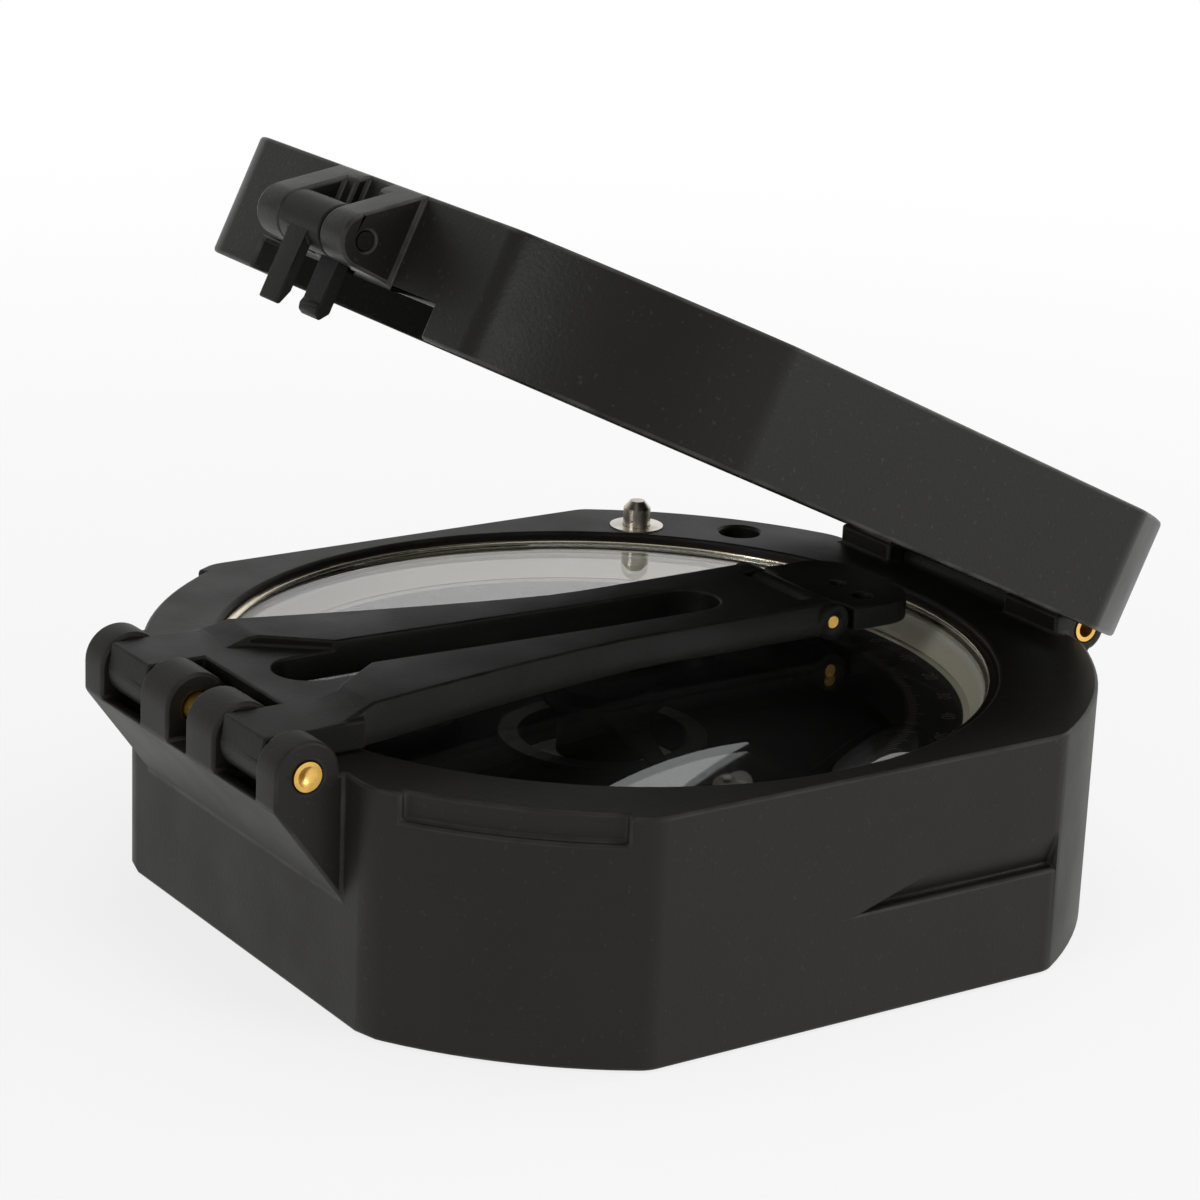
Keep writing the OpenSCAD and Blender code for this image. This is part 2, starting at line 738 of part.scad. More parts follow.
module sighting_arm() {
    lug_clear_y = arm_pin_y + arm_ear_r + barrel_gap;
    lug_clear_x = lug_out_x + side_gap;
    gap_x = tongue_x + side_gap;
    color([0.1, 0.1, 0.11]) difference() {
        union() {
            translate([-arm_half_w, arm_pin_y, arm_bot])
                cube([2 * arm_half_w, ramp_y + 1.5 - arm_pin_y, plate_z - arm_bot]);
            arm_rails();
            both_sides() {
                along_x(lug_clear_x, ear_in_x - side_gap) arm_barrel_profile();
                rod_x(gap_x, arm_w(leaf_pin_y), fork_r, leaf_pin_y, leaf_pin_z);
            }
        }
        translate([-lug_clear_x, arm_pin_y - far, arm_bot - 5])
            cube([2 * lug_clear_x, far + lug_clear_y - arm_pin_y, 20]);
        translate([0, 0, arm_bot - 5]) linear_extrude(height = 20) {
            translate([0, slot_from_y]) circle(r = slot_half_w);
            translate([0, slot_to_y]) circle(r = slot_half_w);
            translate([-slot_half_w, slot_from_y]) square([2 * slot_half_w, slot_to_y - slot_from_y]);
        }
        translate([0, 0, plate_z]) linear_extrude(height = 10) funnel();
        translate([-gap_x, leaf_pin_y - fork_r - 0.3, arm_bot - 5]) cube([2 * gap_x, far, 20]);
        rod_x(-far, far, arm_pin_r + run_gap, arm_pin_y, arm_pin_z);
        rod_x(-far, far, leaf_pin_r + 0.02, leaf_pin_y, leaf_pin_z);
    }
}

// Side view of a barrel: flat top level with the hinge plate, round below the pin
module arm_barrel_profile() {
    barrel_r = plate_z - arm_pin_z;
    translate([arm_pin_y, arm_pin_z]) {
        circle(r = barrel_r);
        polygon([[0, 0], [0, barrel_r], [-barrel_front, barrel_r], [-barrel_r - 0.02, 0.1]]);
    }
}

// The rails start apart and close in on the slot
module funnel() {
    wide_x = slot_half_w + 4.3;
    polygon([
        [-slot_half_w, funnel_back_y], [-wide_x, funnel_mid_y], [-wide_x, funnel_front_y],
        [wide_x, funnel_front_y], [wide_x, funnel_mid_y], [slot_half_w, funnel_back_y]
    ]);
}

module leaf_pin() {
    half_l = arm_w(leaf_pin_y) - 0.1;
    color([0.8, 0.62, 0.3]) rod_x(-half_l, half_l, leaf_pin_r, leaf_pin_y, leaf_pin_z);
}

module peep_leaf() {
    corner = 3.5;
    start_y = leaf_pin_y + leaf_start;
    end_y = leaf_pin_y + leaf_len;
    barrel_r = fork_r - 0.1;
    color([0.1, 0.1, 0.11]) difference() {
        union() {
            translate([0, 0, leaf_bot]) linear_extrude(height = leaf_top - leaf_bot) {
                translate([-leaf_half_w, start_y]) square([2 * leaf_half_w, leaf_len - leaf_start - corner]);
                translate([corner - leaf_half_w, start_y]) square([2 * (leaf_half_w - corner), leaf_len - leaf_start]);
                for (side = [-1, 1]) translate([side * (leaf_half_w - corner), end_y - corner]) circle(r = corner);
            }
            translate([-tongue_x, leaf_pin_y, leaf_bot + 0.3])
                cube([2 * tongue_x, leaf_start + 0.5, leaf_top - leaf_bot - 0.3]);
            rod_x(-tongue_x, tongue_x, barrel_r, leaf_pin_y, leaf_pin_z);
        }
        rod_x(-far, far, leaf_pin_r + run_gap, leaf_pin_y, leaf_pin_z);
        translate([0, start_y + 3.2, 0]) cylinder(r = 0.7, h = far);
        translate([4, start_y + 3, 0]) cylinder(r = 0.9, h = far);
    }
}

module open_lid() {
    translate([0, lid_pin_y, lid_pin_z]) rotate([-lid_open, 0, 0])
        translate([0, -lid_pin_y, -lid_pin_z]) children();
}

module lid_shell() {
    roof_z = lid_top - lid_roof;
    root_x = finger_half_w + 0.35;
    color([0.09, 0.09, 0.1]) open_lid() difference() {
        union() {
            difference() {
                translate([0, 0, lid_bot]) linear_extrude(height = lid_h) outline();
                translate([0, 0, lid_bot - 1]) linear_extrude(height = roof_z - lid_bot + 1) outline(lid_wall);
            }
            translate([0, 0, roof_z - mirror_t]) linear_extrude(height = mirror_t + lid_roof / 2) sight_bead();
            both_sides() {
                along_x(clip_half_w + side_gap, lug_half_w) clip_lug_profile();
                along_x(root_x, lug_half_w) intersection() {
                    clip_lug_profile();
                    translate([clip_y + clip_r + 0.3, 0]) square(far);
                }
            }
            along_x(side_gap - lid_lug_x, lid_lug_x - side_gap) lid_knuckle_profile();
        }
        translate([-notch_half_w, -front_d - 1, lid_bot - 1])
            cube([2 * notch_half_w, lid_wall + 2, notch_top - lid_bot + 1]);
        both_sides() translate([lid_lug_x - side_gap, rear_d - lid_wall - 1, lid_bot - 1])
            cube([hinge_half_l - lid_lug_x + 0.35, lid_wall + 4, lug_top_z + 1.45 - lid_bot]);
        rod_x(-far, far, lid_tube_r + run_gap, lid_pin_y, lid_pin_z);
        rod_x(-far, far, clip_pin_r + 0.02, clip_y, clip_z);
        translate([0, 0, roof_z - mirror_t - 1]) linear_extrude(height = far) sight_window();
    }
}

// Side view of a lug on the lid front: flat top and bottom running onto the barrel
module clip_lug_profile() {
    top_z = lid_top;
    bot_z = notch_top + 0.2;
    translate([clip_y, clip_z]) circle(r = clip_r);
    polygon([
        [1 - front_d, top_z], [-front_d, top_z], [clip_y, clip_z] + clip_r * [cos(122.5), sin(122.5)],
        [clip_y, clip_z], [clip_y, clip_z] + clip_r * [cos(-93), sin(-93)],
        [-front_d, bot_z], [1 - front_d, bot_z]
    ]);
}

module lid_knuckle_profile() {
    r = knuckle_r - 0.1;
    translate([lid_pin_y, lid_pin_z]) circle(r = r);
    polygon([
        [rear_d - 0.5, lid_bot], [rear_d - 0.5, lid_bot + 5.5],
        [lid_pin_y + r * cos(45), lid_pin_z + r * sin(45)], [lid_pin_y, lid_pin_z]
    ]);
}

// Window between the mirror and the hinge
module sight_window() {
    translate([0, sight_front_y]) circle(r = sight_half_w);
    translate([0, sight_back_y]) circle(r = sight_half_w);
    translate([-sight_half_w, sight_front_y]) square([2 * sight_half_w, sight_back_y - sight_front_y]);
}

// Bead round the window on the inside, open towards the mirror
module sight_bead() {
    bead_from = mirror_end_y + 0.1;
    translate([0, sight_back_y]) circle(r = sight_bead_r);
    translate([-sight_bead_r, bead_from]) square([2 * sight_bead_r, sight_back_y - bead_from]);
}

// Round mirror with a straight edge towards the window
module lid_mirror() {
    top_z = lid_top - lid_roof - 0.02;
    color([0.85, 0.87, 0.88]) open_lid() difference() {
        translate([0, mirror_y, top_z - mirror_t]) cylinder(r = mirror_r, h = mirror_t, $fn = 192);
        translate([-far / 2, mirror_end_y, 0]) cube(far);
    }
}

module clip_pin() {
    half_l = lug_half_w - 0.05;
    color([0.2, 0.2, 0.2]) open_lid() rod_x(-half_l, half_l, clip_pin_r, clip_y, clip_z);
}

// Front sight that folds down and straddles the brass hinge pin when the lid is closed
module front_clip() {
    front_y = arm_pin_y - arm_pin_r - finger_gap;
    back_y = arm_pin_y + arm_pin_r + finger_gap + 0.1;
    low_z = arm_pin_z - clip_drop;
    color([0.1, 0.1, 0.11]) open_lid() difference() {
        union() {
            rod_x(-clip_half_w, clip_half_w, clip_r, clip_y, clip_z);
            along_x(-finger_half_w, finger_half_w) {
                polygon([
                    [front_y, clip_z - 1], [front_y, low_z + 1.3], [front_y - 0.55, low_z],
                    [front_y - 0.95, low_z], [front_y - 0.95, clip_z - 0.5], [clip_y, clip_z]
                ]);
                polygon([
                    [back_y, clip_z - 1], [back_y, low_z + 1.35], [back_y - 0.17, low_z + 0.85],
                    [back_y - 0.05, low_z + 0.3], [back_y + 0.5, low_z], [back_y + 1.2, low_z + 0.8],
                    [back_y + 1.2, clip_z - 2.2], [back_y + 0.5, clip_z - 0.6], [clip_y, clip_z]
                ]);
            }
        }
        rod_x(-far, far, clip_pin_r + run_gap, clip_y, clip_z);
    }
}

case_body();
arm_hinge_pin();
lid_hinge_pin();
dial_wall_ring();
glass_gasket();
dial_glass();
snap_ring();
graduated_ring();
adjusting_screw();
clinometer_shaft();
clinometer_lever();
clinometer_screw();
vernier_plate();
tube_level_body();
tube_level_vial();
round_level_body();
round_level_vial();
damping_cup();
pivot_post();
lift_collar();
lift_lever();
lever_axle();
lift_pin();
lift_bush();
lift_spring();
needle_blade();
needle_hub();
needle_jewel();
counterweight();
sighting_arm();
leaf_pin();
peep_leaf();
lid_shell();
lid_mirror();
clip_pin();
front_clip();
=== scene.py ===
import bpy
import bmesh
import math
from mathutils import Vector, Matrix


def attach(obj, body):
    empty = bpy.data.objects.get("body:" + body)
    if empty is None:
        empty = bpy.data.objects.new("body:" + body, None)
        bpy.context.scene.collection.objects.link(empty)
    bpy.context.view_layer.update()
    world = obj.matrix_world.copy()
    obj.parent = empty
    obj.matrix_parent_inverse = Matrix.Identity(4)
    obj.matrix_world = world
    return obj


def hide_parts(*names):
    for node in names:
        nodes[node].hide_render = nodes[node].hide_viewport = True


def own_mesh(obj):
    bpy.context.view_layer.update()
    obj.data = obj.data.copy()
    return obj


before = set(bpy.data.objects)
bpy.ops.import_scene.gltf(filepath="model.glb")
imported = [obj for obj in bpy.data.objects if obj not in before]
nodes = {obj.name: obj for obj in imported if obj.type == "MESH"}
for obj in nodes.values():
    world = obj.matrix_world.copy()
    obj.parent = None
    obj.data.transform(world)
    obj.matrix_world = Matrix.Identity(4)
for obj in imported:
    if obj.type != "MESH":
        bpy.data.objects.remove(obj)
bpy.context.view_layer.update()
mm = 0.001
print("frame loaded:", len(nodes), "nodes")


# camera, at the angle of the photograph
camera = {
    "place": (0.2450, -0.16963, 0.12093),
    "right": (0.5559, 0.8302, 0.0410),
    "up": (-0.2763, 0.1380, 0.9511),
    "back": (0.7840, -0.5401, 0.3061),
    "lens": 109.53,
    "sensor": 36,
    "nearest": 0.01,
}


def photoCamera():
    data = bpy.data.cameras.new("photoCamera")
    data.lens = camera["lens"]
    data.sensor_width = camera["sensor"]
    data.clip_start = camera["nearest"]
    cam = bpy.data.objects.new("photoCamera", data)
    cam.matrix_world = Matrix((camera["right"], camera["up"], camera["back"])).transposed().to_4x4()
    cam.location = camera["place"]
    bpy.context.collection.objects.link(cam)
    bpy.context.scene.camera = cam


photoCamera()


# helpers for nodes and pieces
def setInputs(node, inputs):
    for key, value in inputs.items():
        node.inputs[key].default_value = value


def addNode(tree, kind, place, inputs=None, **settings):
    node = tree.nodes.new(kind)
    node.location = place
    for key, value in settings.items():
        setattr(node, key, value)
    setInputs(node, inputs or {})
    return node


def join(tree, *pairs):
    for source, output, target, socket in pairs:
        tree.links.new(source.outputs[output], target.inputs[socket])


def newMaterial(name):
    material = bpy.data.materials.new(name)
    material.use_nodes = True
    shader = material.node_tree.nodes["Principled BSDF"]
    shader.location = (300, 0)
    material.node_tree.nodes["Material Output"].location = (600, 0)
    return material, material.node_tree, shader


def addPiece(name, bm, material):
    mesh = bpy.data.meshes.new(name)
    bm.to_mesh(mesh)
    bm.free()
    mesh.materials.append(material)
    piece = bpy.data.objects.new(name, mesh)
    bpy.context.collection.objects.link(piece)
    return piece


# a node group with a surface's colour, roughness and normal, and a material that uses one
def surfaceGroup(name, colors, amounts):
    group = bpy.data.node_groups.new(name, "ShaderNodeTree")
    sockets = group.interface
    for key in colors:
        sockets.new_socket(key, in_out="INPUT", socket_type="NodeSocketColor")
    for key, value in amounts.items():
        sockets.new_socket(key, in_out="INPUT", socket_type="NodeSocketFloat").default_value = value
    for key, kind in (("Color", "Color"), ("Roughness", "Float"), ("Normal", "Vector")):
        sockets.new_socket(key, in_out="OUTPUT", socket_type="NodeSocket" + kind)
    given = addNode(group, "NodeGroupInput", (-900, 0))
    result = addNode(group, "NodeGroupOutput", (700, 0))
    coord = addNode(group, "ShaderNodeTexCoord", (-900, -300))
    return group, given, result, coord


def groupMaterial(name, group, inputs):
    material, tree, shader = newMaterial(name)
    surface = addNode(tree, "ShaderNodeGroup", (0, 0), inputs, node_tree=group)
    join(tree, (surface, "Color", shader, "Base Color"), (surface, "Roughness", shader, "Roughness"),
         (surface, "Normal", shader, "Normal"))
    return material, shader


# moulded plastic: fine grain, uneven gloss, specks of dust, and paler rounded edges that are partly scuffing
# and partly a painted highlight
mouldedLook = {
    "grainScale": 3200.0, "grainDetail": 3, "grainDepth": 0.00004,
    "patchScale": 160.0, "patchDetail": 4, "patchLow": 0.3, "patchHigh": 0.7,
    "edgeNoiseScale": 300.0, "edgeNoiseDetail": 4, "edgeNoiseLow": 0.36, "edgeNoiseHigh": 0.62,
    "speckScale": 2400.0, "speckDetail": 1, "speckLow": 0.70, "speckHigh": 0.74, "speckAmount": 0.14,
}


def makeMouldedGroup():
    look = mouldedLook
    group, given, result, coord = surfaceGroup(
        "mouldedPlastic", ("Base", "Scuff And Glint"),
        {"Scuff And Glint Amount": 0.5, "Gloss Low": 0.4, "Gloss High": 0.55, "Grain": 0.2})
    grain = addNode(group, "ShaderNodeTexNoise", (-600, -400),
                    {"Scale": look["grainScale"], "Detail": look["grainDetail"]})
    patch = addNode(group, "ShaderNodeTexNoise", (-600, -150),
                    {"Scale": look["patchScale"], "Detail": look["patchDetail"]})
    # the rounded edges are painted paler: partly scuffing, partly a painted highlight along the edges
    edge = addNode(group, "ShaderNodeAttribute", (-600, 450), attribute_name="edgeScuffAndGlint")
    edgeNoise = addNode(group, "ShaderNodeTexNoise", (-600, 200),
                  {"Scale": look["edgeNoiseScale"], "Detail": look["edgeNoiseDetail"]})
    spots = addNode(group, "ShaderNodeMapRange", (-350, 200),
                    {"From Min": look["edgeNoiseLow"], "From Max": look["edgeNoiseHigh"]})
    dust = addNode(group, "ShaderNodeTexNoise", (-600, 650),
                   {"Scale": look["speckScale"], "Detail": look["speckDetail"]})
    speck = addNode(group, "ShaderNodeMapRange", (-350, 650),
                    {"From Min": look["speckLow"], "From Max": look["speckHigh"],
                     "To Max": look["speckAmount"]})
    pale = addNode(group, "ShaderNodeMath", (150, 450), operation="MAXIMUM")
    broken = addNode(group, "ShaderNodeMath", (-150, 250), operation="MULTIPLY")
    amount = addNode(group, "ShaderNodeMath", (50, 250), operation="MULTIPLY")
    mix = addNode(group, "ShaderNodeMix", (300, 200), data_type="RGBA")
    gloss = addNode(group, "ShaderNodeMapRange", (-100, -100),
                    {"From Min": look["patchLow"], "From Max": look["patchHigh"]})
    bump = addNode(group, "ShaderNodeBump", (300, -350), {"Distance": look["grainDepth"]})
    join(group,
         (coord, "Object", grain, "Vector"), (coord, "Object", patch, "Vector"),
         (coord, "Object", edgeNoise, "Vector"), (edgeNoise, "Fac", spots, "Value"),
         (edge, "Fac", broken, 0), (spots, "Result", broken, 1),
         (broken, 0, amount, 0), (given, "Scuff And Glint Amount", amount, 1),
         (coord, "Object", dust, "Vector"), (dust, "Fac", speck, "Value"),
         (speck, "Result", pale, 0), (amount, 0, pale, 1),
         (pale, 0, mix, "Factor"), (given, "Base", mix, "A"), (given, "Scuff And Glint", mix, "B"),
         (mix, "Result", result, "Color"),
         (patch, "Fac", gloss, "Value"), (given, "Gloss Low", gloss, "To Min"),
         (given, "Gloss High", gloss, "To Max"), (gloss, "Result", result, "Roughness"),
         (grain, "Fac", bump, "Height"), (given, "Grain", bump, "Strength"),
         (bump, "Normal", result, "Normal"))
    return group


mouldedGroup = makeMouldedGroup()


def mouldedPlastic(name, base, scuffAndGlint, scuffAndGlintAmount, gloss, grain, specular):
    material, shader = groupMaterial(name, mouldedGroup, {
        "Base": (*base, 1), "Scuff And Glint": (*scuffAndGlint, 1), "Scuff And Glint Amount": scuffAndGlintAmount,
        "Gloss Low": gloss[0], "Gloss High": gloss[1], "Grain": grain})
    setInputs(shader, {"Specular IOR Level": specular})
    return material


# turned metal: fine tool lines, slight tarnish in patches
turnedLook = {"patchScale": 420.0, "patchDetail": 5, "patchLow": 0.42, "patchHigh": 0.62,
              "lineScale": 5200.0, "lineDepth": 0.00002}


def makeTurnedGroup():
    look = turnedLook
    group, given, result, coord = surfaceGroup(
        "turnedMetal", ("Bright", "Dull"),
        {"Tarnish": 0.5, "Rough Low": 0.2, "Rough High": 0.4, "Lines": 0.1})
    patch = addNode(group, "ShaderNodeTexNoise", (-600, 0),
                    {"Scale": look["patchScale"], "Detail": look["patchDetail"]})
    fine = addNode(group, "ShaderNodeTexNoise", (-600, -300), {"Scale": look["lineScale"]})
    mask = addNode(group, "ShaderNodeMapRange", (-350, 100),
                   {"From Min": look["patchLow"], "From Max": look["patchHigh"]})
    amount = addNode(group, "ShaderNodeMath", (-100, 150), operation="MULTIPLY")
    mix = addNode(group, "ShaderNodeMix", (200, 200), data_type="RGBA")
    rough = addNode(group, "ShaderNodeMapRange", (-100, -100))
    bump = addNode(group, "ShaderNodeBump", (200, -300), {"Distance": look["lineDepth"]})
    join(group,
         (coord, "Object", patch, "Vector"), (coord, "Object", fine, "Vector"),
         (patch, "Fac", mask, "Value"), (mask, "Result", amount, 0), (given, "Tarnish", amount, 1),
         (amount, 0, mix, "Factor"), (given, "Bright", mix, "A"), (given, "Dull", mix, "B"),
         (mix, "Result", result, "Color"),
         (mask, "Result", rough, "Value"), (given, "Rough Low", rough, "To Min"),
         (given, "Rough High", rough, "To Max"), (rough, "Result", result, "Roughness"),
         (fine, "Fac", bump, "Height"), (given, "Lines", bump, "Strength"),
         (bump, "Normal", result, "Normal"))
    return group


turnedGroup = makeTurnedGroup()


def turnedMetal(name, bright, dull, tarnish, rough, lines):
    material, shader = groupMaterial(name, turnedGroup, {
        "Bright": (*bright, 1), "Dull": (*dull, 1), "Tarnish": tarnish,
        "Rough Low": rough[0], "Rough High": rough[1], "Lines": lines})
    setInputs(shader, {"Metallic": 1})
    return material


# two colours that meet at a radius round the dial's axis
def bandedRing(name, inner, outer, radius, blur, rough, specular):
    material, tree, shader = newMaterial(name)
    coord = addNode(tree, "ShaderNodeTexCoord", (-900, 0))
    split = addNode(tree, "ShaderNodeSeparateXYZ", (-700, 0))
    flat = addNode(tree, "ShaderNodeCombineXYZ", (-500, 0))
    length = addNode(tree, "ShaderNodeVectorMath", (-350, 0), operation="LENGTH")
    scale = addNode(tree, "ShaderNodeMapRange", (-150, 0),
                    {"From Min": (radius - blur) * mm, "From Max": (radius + blur) * mm})
    mix = addNode(tree, "ShaderNodeMix", (80, 0), {"A": (*inner, 1), "B": (*outer, 1)}, data_type="RGBA")
    join(tree,
         (coord, "Object", split, 0), (split, "X", flat, "X"), (split, "Y", flat, "Y"),
         (flat, 0, length, 0), (length, "Value", scale, "Value"), (scale, "Result", mix, "Factor"),
         (mix, "Result", shader, "Base Color"))
    setInputs(shader, {"Roughness": rough, "Specular IOR Level": specular})
    return material


# glass, clear to shadow rays so that light reaches the dial
glassLook = {"rough": 0.01, "shadowTint": (0.88, 0.87, 0.85)}


def clearGlass(name, tint, ior):
    material, tree, shader = newMaterial(name)
    setInputs(shader, {"Base Color": (*tint, 1), "Transmission Weight": 1,
                       "Roughness": glassLook["rough"], "IOR": ior})
    path = addNode(tree, "ShaderNodeLightPath", (0, 400))
    through = addNode(tree, "ShaderNodeBsdfTransparent", (300, 300), {"Color": (*glassLook["shadowTint"], 1)})
    mix = addNode(tree, "ShaderNodeMixShader", (500, 200))
    out = tree.nodes["Material Output"]
    out.location = (750, 100)
    join(tree, (path, "Is Shadow Ray", mix, "Fac"), (shader, 0, mix, 1), (through, 0, mix, 2),
         (mix, 0, out, "Surface"))
    return material


mirrorLook = {"color": (0.86, 0.88, 0.88), "smearScale": 60, "roughLow": 0.015, "roughHigh": 0.05}


def silvered():
    material, tree, shader = newMaterial("silveredMirror")
    setInputs(shader, {"Base Color": (*mirrorLook["color"], 1), "Metallic": 1})
    smear = addNode(tree, "ShaderNodeTexNoise", (-300, 0), {"Scale": mirrorLook["smearScale"]})
    coord = addNode(tree, "ShaderNodeTexCoord", (-500, 0))
    rough = addNode(tree, "ShaderNodeMapRange", (0, 0),
                    {"To Min": mirrorLook["roughLow"], "To Max": mirrorLook["roughHigh"]})
    join(tree, (coord, "Object", smear, "Vector"), (smear, "Fac", rough, "Value"),
         (rough, "Result", shader, "Roughness"))
    return material


# the finishes, and which piece has which
blackCase = mouldedPlastic("blackCase", base=(0.0110, 0.0102, 0.0084), scuffAndGlint=(0.08, 0.076, 0.068),
                           scuffAndGlintAmount=0.22, gloss=(0.46, 0.54), grain=0.5, specular=0.24)
# the lid's edges are painted paler and more strongly than the case's: scuffing, plus a painted highlight
# along its top edge
blackLid = mouldedPlastic("blackLid", base=(0.0112, 0.0106, 0.0094), scuffAndGlint=(0.12, 0.116, 0.11),
                          scuffAndGlintAmount=0.3, gloss=(0.36, 0.44), grain=0.5, specular=0.24)
blackSight = mouldedPlastic("blackSight", base=(0.0092, 0.0087, 0.0078), scuffAndGlint=(0.07, 0.066, 0.06),
                            scuffAndGlintAmount=0.2, gloss=(0.42, 0.52), grain=0.5, specular=0.17)
innerBlack = mouldedPlastic("innerBlack", base=(0.0035, 0.0035, 0.0035), scuffAndGlint=(0.01, 0.01, 0.01),
                            scuffAndGlintAmount=0.3, gloss=(0.65, 0.8), grain=0.1, specular=0.05)
paleRubber = mouldedPlastic("gasketRubber", base=(0.60, 0.58, 0.48), scuffAndGlint=(0.6, 0.58, 0.5),
                            scuffAndGlintAmount=0.0, gloss=(0.6, 0.75), grain=0.2, specular=0.3)
paleInk = mouldedPlastic("paleInk", base=(0.07, 0.06, 0.045), scuffAndGlint=(0.07, 0.06, 0.045),
                         scuffAndGlintAmount=0.0, gloss=(0.5, 0.6), grain=0.05, specular=0.2)
brass = turnedMetal("brass", bright=(0.86, 0.55, 0.15), dull=(0.55, 0.31, 0.07),
                    tarnish=0.6, rough=(0.30, 0.50), lines=0.6)
steel = turnedMetal("steel", bright=(0.55, 0.55, 0.55), dull=(0.35, 0.34, 0.33),
                    tarnish=0.5, rough=(0.2, 0.4), lines=0.2)
nickel = turnedMetal("warmNickel", bright=(0.82, 0.74, 0.58), dull=(0.74, 0.65, 0.49),
                     tarnish=0.3, rough=(0.18, 0.26), lines=0.05)
pinNickel = turnedMetal("pinNickel", bright=(0.66, 0.60, 0.51), dull=(0.50, 0.44, 0.36),
                        tarnish=0.5, rough=(0.24, 0.36), lines=0.15)
bushNickel = turnedMetal("bushNickel", bright=(0.74, 0.71, 0.64), dull=(0.60, 0.56, 0.48),
                         tarnish=0.4, rough=(0.28, 0.4), lines=0.1)
# the damping cup: grey inside 7.3 mm, black beyond; the grey is partly the disc's own tone and partly painted
# light, for light that comes in through the glass
cupGreyDiscAndLight = bandedRing("cupGreyDiscAndLight", inner=(0.38, 0.38, 0.36), outer=(0.008, 0.008, 0.008),
                        radius=7.3, blur=0.05, rough=0.55, specular=0.12)
# the cream liner: its upper wall is painted lighter and its slope darker, painted light and painted shade on
# one cream
cream = bandedRing("creamLiner", inner=(0.82, 0.78, 0.64), outer=(0.95, 0.94, 0.87),
                   radius=32.3, blur=0.1, rough=0.45, specular=0.4)
dialRing = bandedRing("dialRing", inner=(0.006, 0.006, 0.006), outer=(0.76, 0.72, 0.59),
                      radius=30.95, blur=0.05, rough=0.6, specular=0.1)
glass = clearGlass("dialGlass", tint=(0.98, 0.98, 0.97), ior=1.5)
vialLiquid = clearGlass("levelLiquid", tint=(0.75, 0.9, 0.45), ior=1.4)
mirrorSilver = silvered()

finish = {
    "case_body": blackCase, "arm_hinge_pin": brass, "lid_hinge_pin": brass, "dial_wall_ring": cream,
    "glass_gasket": paleRubber, "dial_glass": glass, "snap_ring": nickel, "graduated_ring": dialRing,
    "adjusting_screw": brass, "clinometer_shaft": brass, "clinometer_lever": steel,
    "clinometer_screw": brass, "vernier_plate": innerBlack, "tube_level_body": innerBlack,
    "tube_level_vial": vialLiquid, "round_level_body": innerBlack, "round_level_vial": vialLiquid,
    "damping_cup": cupGreyDiscAndLight, "pivot_post": steel, "lift_collar": brass, "lift_lever": brass,
    "lever_axle": steel, "lift_pin": pinNickel, "lift_bush": bushNickel, "lift_spring": steel,
    "needle_blade": innerBlack, "needle_hub": innerBlack, "needle_jewel": brass,
    "counterweight": brass, "sighting_arm": blackSight, "leaf_pin": brass, "peep_leaf": blackSight,
    "lid_shell": blackLid, "lid_mirror": mirrorSilver, "clip_pin": blackSight, "front_clip": blackSight,
}
for name, node in nodes.items():
    node.data.materials.clear()
    node.data.materials.append(finish[name])
print("materials on", len(finish), "nodes")


# pieces with small round edges, made from copies of the solids: name, body, slot and width in mm
roundedPieces = {
    "case_body": ("caseRounded", "case", "black_body", 0.30),
    "lid_shell": ("lidRounded", "lid", "black_lid", 0.30),
    "sighting_arm": ("armRounded", "arm", "black_sight", 0.22),
    "peep_leaf": ("leafRounded", "leaf", "black_sight", 0.22),
    "front_clip": ("clipRounded", "clip", "black_sight", 0.15),
    "snap_ring": ("snapRingRounded", "case", "champagne", 0.12),
}
roundEdge = {
    "merge": 2e-6,  # m, corners nearer than this are one
    "flatten": 0.6,  # degrees, below which two faces are one
    "bend": 28,  # degrees, from which an edge is rounded
    "reach": 2.6,  # widths that a face beside the edge must have
    "segments": 2,
    "shadeBreak": 35,  # degrees, from which the shading breaks
    "faceWeight": 90,
}
# lengths in mm, angles in degrees; the lean is a share of the edge's length
softCorner = {"width": 1.2, "segments": 4, "least": 24, "most": 32, "length": 9.0, "lean": 0.02}
flatFace = {"edge": 0.8, "least": 0.3, "most": 35, "area": 1.0e-6}  # area in square metres


def faceReach(face, edge):
    start = edge.verts[0].co
    along = (edge.verts[1].co - start).normalized()
    return max(((v.co - start) - along * (v.co - start).dot(along)).length for v in face.verts)


# a flat meets no other face at a slight angle, rounded edges aside
def isFlat(face, strip):
    if face[strip]:
        return False
    for e in face.edges:
        if e.calc_length() < flatFace["edge"] * mm or len(e.link_faces) != 2:
            continue
        other = e.link_faces[0] if e.link_faces[1] == face else e.link_faces[1]
        if not other[strip] and flatFace["least"] < math.degrees(e.calc_face_angle(0)) < flatFace["most"]:
            return False
    return face.calc_area() > flatFace["area"]


# the upright edges where the front and rear flats meet the corner arcs
def isSoftCorner(e):
    if len(e.link_faces) != 2 or e.calc_length() < softCorner["length"] * mm:
        return False
    along = e.verts[1].co - e.verts[0].co
    turn = math.degrees(e.calc_face_angle_signed(0))
    upright = abs(along.x) < softCorner["lean"] * along.length
    return upright and softCorner["least"] < turn < softCorner["most"]


# an edge is rounded if it is sharp and both its faces have room
def isSharp(e, width):
    if len(e.link_faces) != 2 or e.calc_face_angle(0) < math.radians(roundEdge["bend"]):
        return False
    return min(faceReach(f, e) for f in e.link_faces) >= roundEdge["reach"] * width * mm


def bevelEdges(bm, edges, width, segments):
    made = bmesh.ops.bevel(bm, geom=edges, offset=width * mm, offset_type="OFFSET", segments=segments,
                           profile=0.5, affect="EDGES", clamp_overlap=False, material=-1, loop_slide=True)
    return made["faces"]


